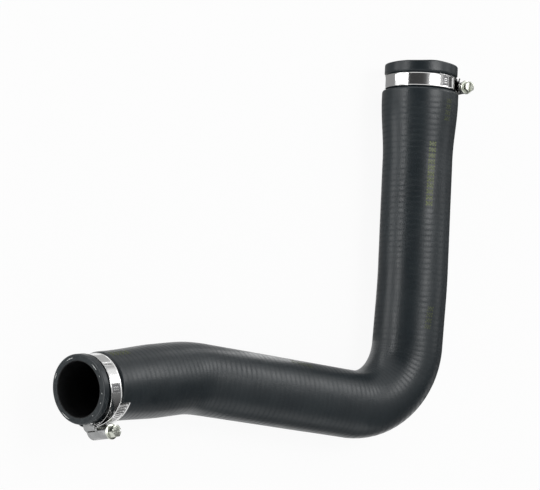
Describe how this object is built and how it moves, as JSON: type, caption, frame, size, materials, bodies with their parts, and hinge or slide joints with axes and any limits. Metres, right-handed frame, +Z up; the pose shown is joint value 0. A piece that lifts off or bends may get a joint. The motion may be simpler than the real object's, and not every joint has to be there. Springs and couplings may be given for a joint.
{
  "type": "turbo hose",
  "caption": "Moulded black rubber elbow hose for pressurised intake air, tapering from end to end, with a worm-drive clamp seated on each open end",
  "frame": {"origin": "middle of the part's box, on the surface that the hose lies on", "axes": "+Z up; the hose's riser runs from the elbow along +Y to the wide end B, and its leg runs from the elbow towards -X to the narrow end A"},
  "size_m": [0.3124, 0.274, 0.0743],
  "materials": {
    "hose_rubber": "satin black moulded rubber with fine wrap ridges",
    "clamp_band_steel": "polished stainless strip with turned-up edges",
    "clamp_housing_steel": "stamped stainless sheet",
    "clamp_screw_zinc": "zinc plated steel"
  },
  "bodies": {
    "hose": {"hose": "hose_rubber", "clamp_a_band": "clamp_band_steel", "clamp_a_housing": "clamp_housing_steel", "clamp_b_band": "clamp_band_steel", "clamp_b_housing": "clamp_housing_steel"},
    "clamp_a_screw": {"clamp_a_screw": "clamp_screw_zinc"},
    "clamp_b_screw": {"clamp_b_screw": "clamp_screw_zinc"}
  },
  "joints": [
    {"name": "clamp_a_screw_turn", "type": "hinge", "parent": "hose", "child": "clamp_a_screw", "pos_m": [-0.13361, -0.1324, 0.04883], "axis": [0.2506, 0.137, 0.9584], "continuous": true},
    {"name": "clamp_b_screw_turn", "type": "hinge", "parent": "hose", "child": "clamp_b_screw", "pos_m": [0.15168, 0.12392, 0.03078], "axis": [-0.1042, -0.0158, 0.9944], "continuous": true}
  ]
}
